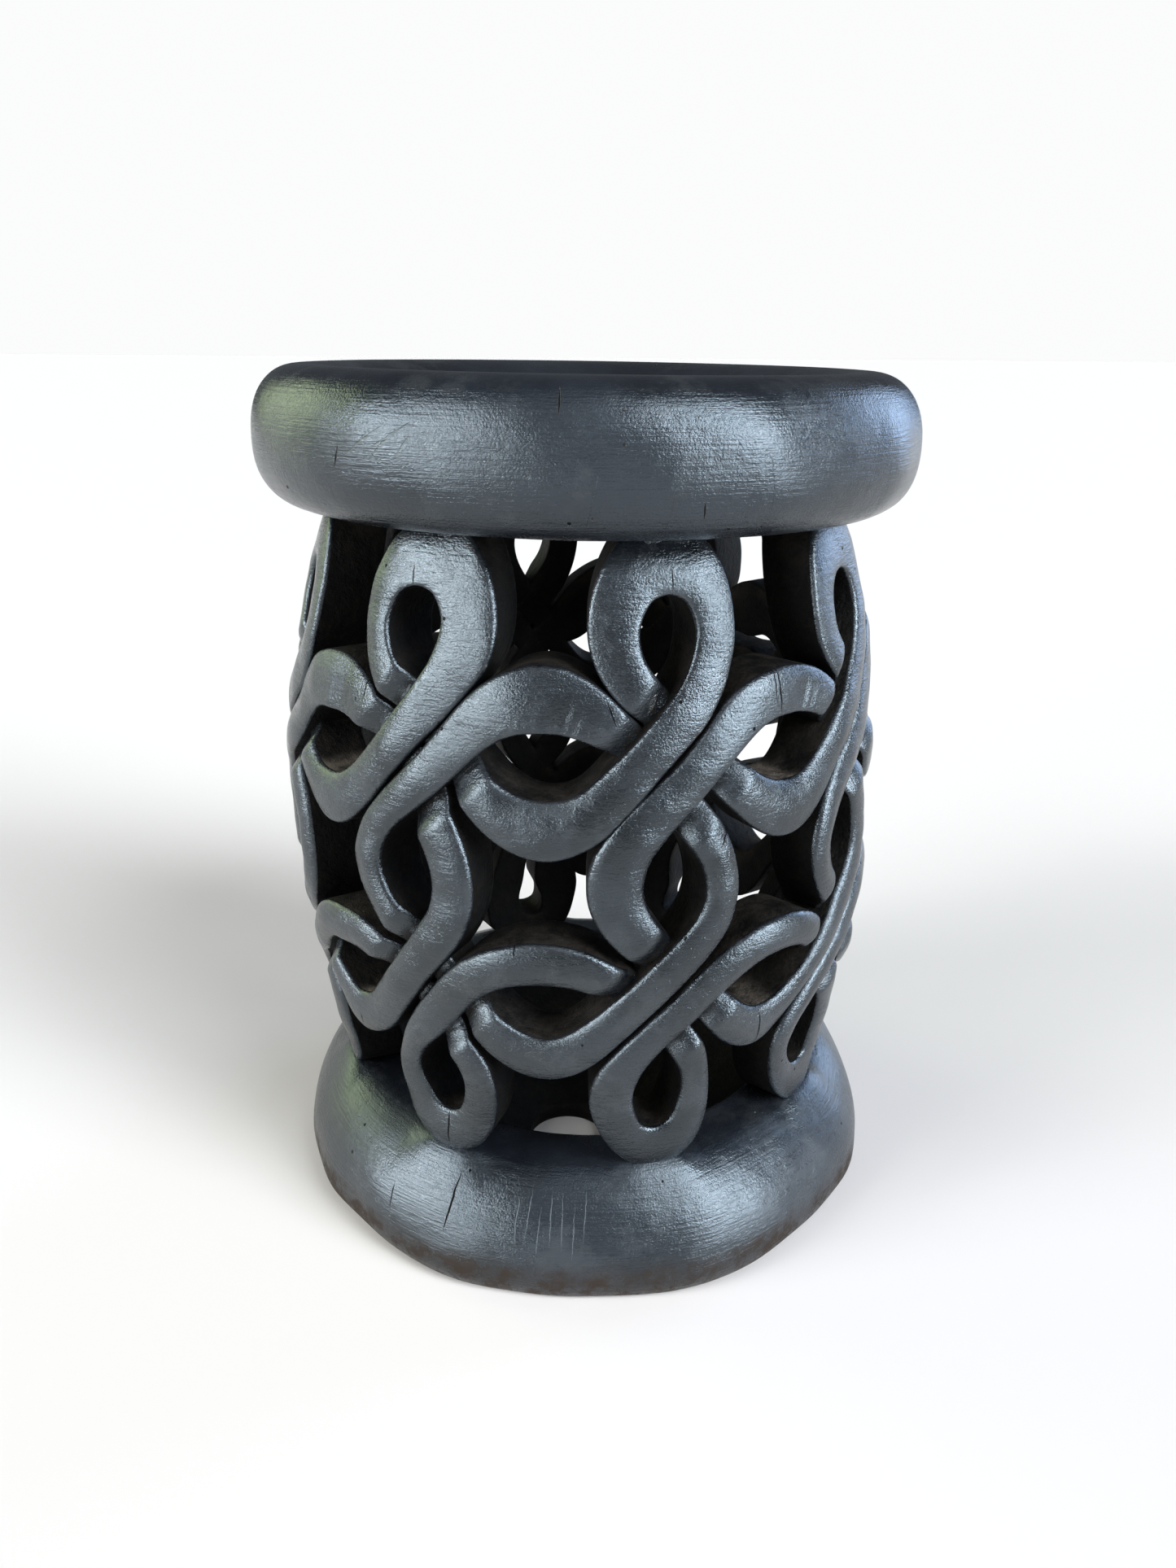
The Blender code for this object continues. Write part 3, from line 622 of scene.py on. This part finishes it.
def degreesFrom(angle, across):     # degrees round from an angle, -180 to 180
    return (np.degrees(across / weave["belly"]) - angle + 180) % 360 - 180


# each place moves by the sum of the pulls, which fade as bell curves round and up
def drifted(across, height):
    move = np.zeros((3,) + height.shape)
    for spot in drift:
        share = np.exp(-(degreesFrom(spot["angle"], across) / spot["reach"][0]) ** 2
                       - ((height - spot["height"]) / spot["reach"][1]) ** 2)
        move += share * spot["move"][:, None, None]
    return across + move[0], height + move[1], move[2]


# the half of a section that faces a trim's way grows by it, fading as a bell curve along the strap
def trimmed(side, own, name, column, shares):
    for one in trims:
        if one["strap"] != name:
            continue
        turn = degreesFrom(one["angle"], own["across"] + column * columnLength)
        apart = np.hypot(np.radians(turn) * weave["belly"], own["height"] - one["height"])
        outward = np.stack((-np.sin(own["heading"]), np.cos(own["heading"])), -1) @ one["faces"]
        amount = one["by"] * np.exp(-(apart / one["reach"]) ** 2) * np.abs(outward)
        facing = np.sign(outward)[:, None] == np.sign(shares[:, 0])
        side = side + amount[:, None] * shares[:, 0] * facing
    return side


# A strap laid flat: its section carried along its course, trimmed, and evened out, more so on the
# inside of a tight bend. Its crown falls off with the square of the share of the half width.
def flatStrap(own, column=0, name=None):
    shares = sectionShares()
    half = own["half"][:, None]
    edgeRound, backRound, wall = weave["edgeRound"], weave["backRound"], weave["wall"]
    side = half * shares[:, 0] + edgeRound * shares[:, 1] + backRound * shares[:, 2]
    depth = edgeRound * shares[:, 3] + wall * shares[:, 4] + backRound * shares[:, 5]
    flat = smoothStep((own["height"] - weave["flatFrom"]) / (weave["flatTo"] - weave["flatFrom"]))
    crown = weave["crown"] * (1 - weave["flatter"] * flat[:, None]) * (side / half) ** 2
    side = trimmed(side, own, name, column, shares)
    squeeze = barrelRadius(own["height"])[:, None] / weave["belly"]
    across = own["across"][:, None] - side * np.sin(own["heading"])[:, None] / squeeze
    height = own["height"][:, None] + side * np.cos(own["heading"])[:, None]
    bend = np.gradient(own["heading"])[:, None] / weave["step"]
    tight = evenedRows(smoothStep((side * bend - weave["tightFrom"]) / weave["tightRun"]),
                       weave["evening"], own["closed"])
    across, height = (evenedRows(way, weave["evening"], own["closed"]) * (1 - tight)
                      + evenedRows(way, weave["tightEvening"], own["closed"]) * tight
                      for way in (across, height))
    return across, height, depth, crown


# the same strap drifted, bent onto the barrel, and sunk at the crossings, at its face most
def strapPoints(own, sink, column, name):
    across, height, depth, crown = flatStrap(own, column, name)
    across, height, out = drifted(across + column * columnLength, height)
    out = out + weave["flare"] * np.exp(-((height - baseTop) / weave["flareReach"]) ** 2)
    radius = barrelRadius(height) + out
    angle = across / weave["belly"] - math.pi / 2
    plain = np.stack((radius * np.cos(angle), radius * np.sin(angle), height), -1)
    uneven = sum(size * ripple(plain, length, seed) for size, length, seed in weave["waves"])
    radius = radius - depth - (sink * weave["sink"] + crown + uneven) * (1 - depth / weave["wall"])
    return np.stack((radius * np.cos(angle), radius * np.sin(angle), height), -1)


# Marks for the woods, 0 to 1: wall off the face, edge along its rounds, ledge where a side wall
# faces up, and sunk under a crossing.
marking = {"wearAt": 0.3, "wearRun": 0.35, "wallFrom": 0.9, "wallRise": 6,
           "ledgeFrom": 0.3, "ledgeGain": 1.4}


def strapMarkings(own, sink):
    shares = sectionShares()
    sideways, rounding, walling = np.abs(shares[:, 0]), shares[:, 3], shares[:, 4]
    edge = np.exp(-((rounding - marking["wearAt"]) / marking["wearRun"]) ** 2)
    edge = edge * (walling == 0) * (sideways == 1)
    wall = smoothStep(walling * marking["wallRise"]) + (rounding > marking["wallFrom"])
    wall = np.clip(wall, 0, 1)
    facesUp = np.cos(own["heading"])[:, None] * shares[:, 0]
    ledge = np.clip(facesUp * marking["ledgeGain"] - marking["ledgeFrom"], 0, 1) * wall
    return {"wall": np.broadcast_to(wall, sink.shape), "ledge": ledge,
            "edge": np.broadcast_to(edge, sink.shape), "sunk": sink}


def carveStraps():
    courses = {"upper": course(weave["upper"], False), "ring": course(weave["ring"], True),
               "lower": course(weave["lower"], False)}
    for kind, node in (("upper", "upper_loop"), ("ring", "eye_ring"), ("lower", "lower_loop")):
        own = courses[kind]
        across, height, _, _ = flatStrap(own)
        sink = sinkOf(own, across, height, courses)
        marks = {key: values[:, ::-1] for key, values in strapMarkings(own, sink).items()}
        for number in range(weave["columns"]):
            points = strapPoints(own, sink, number + 0.5, (kind, number + 1))
            piece = gridPiece(f"{kind}Strap{number + 1}", points[:, ::-1], own["closed"], marks)
            piece.data.materials.append(strapWood)
            piece.data.materials.append(hollowWood)
            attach(piece, "root")
            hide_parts(f"{node}_{number + 1}")
        print(f"{kind} straps carved: {weave['columns']} of {sink.shape[0]} by {sink.shape[1]} points")


strapWood = blackWood("strapWood", strapLook, strapMarks)
hollowWood = innerWood("hollowWood", innerLook)
carveStraps()


# Seat and base are turned shapes: a profile of (radius, height) carried round, made uneven by hand.
seat = {
    "rollReach": 0.024, "rollPower": 2.3, "rim": 0.026, "slope": 0.051, "dish": 0.015,
    "middle": 0.002, "tilt": -0.0107, "uneven": 0.0005,
}
base = {
    "ring": 0.053, "shoulder": 0.036, "power": 1.86, "widest": 0.013, "tuck": 0.009, "boreRound": 0.004,
    "hole": 0.0205, "floor": 0.008, "holeAt": (-0.006, -0.0325), "tilt": 0.0, "uneven": 0.0007,
    "foot": 0.0042, "footAt": baseReach - 0.0240, "footReach": 0.009, "footWidth": 0.024,
    "footFrom": 0.03, "footRise": 0.02, "innerMargin": 0.0025, "ledge": 0.12,
}
lathe = {
    "step": 0.0022, "around": 300, "wave": 0.11, "fineWave": 0.04, "fineShare": 0.4,
    "roll": 80, "dish": 30, "shoulder": 60, "tuck": 20, "lip": 8,       # points before they are evened
}


# a superellipse arc: each way the reach times the cosine or sine to the power of 2 / power
def arcPoints(centre, reach, power, start, end, count):
    q = np.linspace(start, end, count)
    x = np.abs(np.cos(q)) ** (2 / power) * np.sign(np.round(np.cos(q), 9))
    z = np.abs(np.sin(q)) ** (2 / power) * np.sign(np.round(np.sin(q), 9))
    return np.stack((centre[0] + reach[0] * x, centre[1] + reach[1] * z), -1)


def evenly(profile):                # the same outline at even steps along it
    ds = np.hypot(*np.diff(profile, axis=0).T)
    along = np.concatenate(([0], np.cumsum(ds)))
    want = np.linspace(0, along[-1], int(along[-1] / lathe["step"]) + 1)
    return np.stack((np.interp(want, along, profile[:, 0]), np.interp(want, along, profile[:, 1])), -1)


# underside, rolled edge, half a cosine wave down into the dish, and its flat floor
def seatProfile(spec):
    half = (seatTop - seatUnder) / 2
    centre = (seatReach - spec["rollReach"], seatTop - half)
    roll = arcPoints(centre, (spec["rollReach"], half), spec["rollPower"],
                     -math.pi / 2, math.pi / 2, lathe["roll"])
    share = np.linspace(0, 1, lathe["dish"])[:, None]
    dish = np.hstack((seatReach - spec["rim"] - spec["slope"] * share,
                      seatTop - spec["dish"] * (1 - np.cos(np.pi * share)) / 2))
    floor = [(spec["middle"], seatTop - spec["dish"])]
    return evenly(np.vstack(([(spec["middle"], seatUnder)], roll, dish, floor)))


# tucked-in foot, fat shoulder, rounded lip, and a straight slope down inside to the hole
def baseProfile(spec):
    shoulder = arcPoints((baseReach - spec["shoulder"], spec["widest"]),
                         (spec["shoulder"], baseTop - spec["widest"]), spec["power"],
                         0, math.pi / 2, lathe["shoulder"])
    tuck = arcPoints((baseReach - spec["tuck"], spec["widest"]), (spec["tuck"], spec["widest"]), 2,
                     -math.pi / 2, 0, lathe["tuck"])
    bore, lipRound = baseReach - spec["ring"], spec["boreRound"]
    lip = arcPoints((bore + lipRound, baseTop - lipRound), (lipRound, lipRound), 2,
                    math.pi / 2, math.pi, lathe["lip"])
    hole = [(spec["hole"], spec["floor"]), (spec["hole"], 0)]
    return evenly(np.vstack((tuck, shoulder, lip, hole, tuck[:1])))[:-1]


# each point of the profile carried round a circle, its radius scaled by ripples, then tilted
def turned(profile, spec):
    q = np.linspace(0, 2 * np.pi, lathe["around"], endpoint=False)[:, None]
    radius, height = profile[:, 0], profile[:, 1]
    points = np.stack((radius * np.cos(q), radius * np.sin(q), height + 0 * q), -1)
    out = ripple(points, lathe["wave"], seed=11)
    out = out + lathe["fineShare"] * ripple(points, lathe["fineWave"], seed=12)
    points[..., :2] *= (1 + spec["uneven"] * out / max(radius))[..., None]
    points[..., 2] += spec["tilt"] * points[..., 0]
    return points


def makeSeat():
    points = turned(seatProfile(seat), seat).transpose(1, 0, 2)
    piece = gridPiece("dishedSeat", points[:, ::-1], False)
    piece.data.materials.append(blackWood("seatWood", seatLook, seatMarks))
    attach(piece, "root")
    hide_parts("seat")


# The base's top swells up a little where a loop's foot stands on it, and the hole through its floor
# lies off the middle, so its inside slopes more steeply on one side.
def makeBase():
    points = turned(baseProfile(base), base)
    bore = baseReach - base["ring"]
    reach = np.hypot(points[..., 0], points[..., 1])
    turn = np.arctan2(points[..., 1], points[..., 0]) / pitch
    aside = (turn - np.floor(turn) - 0.5) * columnLength
    swell = np.exp(-((reach - base["footAt"]) / base["footReach"]) ** 2 - (aside / base["footWidth"]) ** 4)
    rise = smoothStep((points[..., 2] - base["footFrom"]) / base["footRise"])
    points[..., 2] += base["foot"] * swell * rise
    towards = np.clip((bore - reach) / (bore - base["hole"]), 0, 1)
    points[..., :2] += towards[..., None] * base["holeAt"]
    inside = (reach < bore + base["innerMargin"]) * 1.0
    piece = gridPiece("piercedBase", points, True, {"wall": inside, "ledge": base["ledge"] * inside})
    piece.data.materials.append(blackWood("baseWood", baseLook, baseMarks))
    piece.data.materials.append(hollowWood)
    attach(piece, "root")
    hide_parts("base_ring")


makeSeat()
makeBase()
print("seat and base turned")


# Stage: a wide pale floor, and soft studio lamps that stand far off, so that the floor is lit evenly.
# What the camera sees behind is a pale backdrop, and the sky that lights is dimmer.
stage = {"reach": 30.0, "floor": (0.66, 0.612, 0.580, 1),
         "backdrop": (0.965, 0.970, 0.970, 1), "sky": (0.84, 0.90, 1.0, 1), "skyPower": 0.12}
lamps = [       # turn and lift in degrees from the camera's side of the stool, width in degrees
    {"name": "leftSoft", "turn": -70, "lift": 13, "width": 22, "power": 2.7, "tint": (0.92, 0.97, 1.0)},
    {"name": "leftHigh", "turn": -58, "lift": 33, "width": 20, "power": 1.3, "tint": (0.92, 0.97, 1.0)},
    {"name": "leftLow", "turn": -42, "lift": 3, "width": 18, "power": 2.1, "tint": (0.92, 0.97, 1.0)},
    {"name": "rightSoft", "turn": 57, "lift": 27, "width": 23, "power": 3.0, "tint": (0.84, 0.92, 1.0)},
    {"name": "rightHigh", "turn": 44, "lift": 45, "width": 22, "power": 1.7, "tint": (0.84, 0.92, 1.0)},
    {"name": "rightLow", "turn": 61, "lift": 4, "width": 21, "power": 3.6, "tint": (0.84, 0.92, 1.0)},
    {"name": "overhead", "turn": 5, "lift": 50, "width": 60, "power": 0.5, "tint": (0.95, 0.97, 1.0)},
    {"name": "leftGreen", "turn": -116, "lift": 20, "width": 34, "power": 0.9, "tint": (0.86, 1.0, 0.62)},
    {"name": "rightBlue", "turn": 126, "lift": 12, "width": 34, "power": 1.6, "tint": (0.52, 0.70, 1.0)},
]


def setStage(spec):
    mesh = bpy.data.meshes.new("floor")
    far = spec["reach"]
    mesh.from_pydata([(-far, -far, 0), (far, -far, 0), (far, far, 0), (-far, far, 0)], [], [(0, 1, 2, 3)])
    floor = bpy.data.objects.new("floor", mesh)
    bpy.context.collection.objects.link(floor)
    paint = Recipe("floorPaint")
    paint.feed(paint.shader, {"Base Color": spec["floor"]} | mattFinish)
    mesh.materials.append(paint.material)
    world = bpy.data.worlds.new("sky")
    bpy.context.scene.world = world
    world.use_nodes = True
    nodes, links = world.node_tree.nodes, world.node_tree.links
    light = nodes["Background"]
    light.inputs["Color"].default_value = spec["sky"]
    light.inputs["Strength"].default_value = spec["skyPower"]
    seen = nodes.new("ShaderNodeBackground")
    seen.inputs["Color"].default_value = spec["backdrop"]
    either, path = nodes.new("ShaderNodeMixShader"), nodes.new("ShaderNodeLightPath")
    links.new(path.outputs["Is Camera Ray"], either.inputs[0])
    links.new(light.outputs[0], either.inputs[1])
    links.new(seen.outputs[0], either.inputs[2])
    links.new(either.outputs[0], nodes["World Output"].inputs["Surface"])
    bpy.context.scene.view_settings.view_transform = "Standard"


def setLamp(spec):
    light = bpy.data.lights.new(spec["name"], "SUN")
    light.angle = math.radians(spec["width"])
    light.energy = spec["power"]
    light.color = spec["tint"]
    turn = math.radians(spec["turn"] + lens["stoolTurn"] - 90)
    lift = math.radians(spec["lift"])
    way = Vector((math.cos(lift) * math.cos(turn), math.cos(lift) * math.sin(turn), math.sin(lift)))
    lamp = bpy.data.objects.new(spec["name"], light)
    bpy.context.collection.objects.link(lamp)
    lamp.location = way
    lamp.rotation_euler = way.to_track_quat("Z", "Y").to_euler()


setStage(stage)
for spec in lamps:
    setLamp(spec)
print("stage and lamps set")
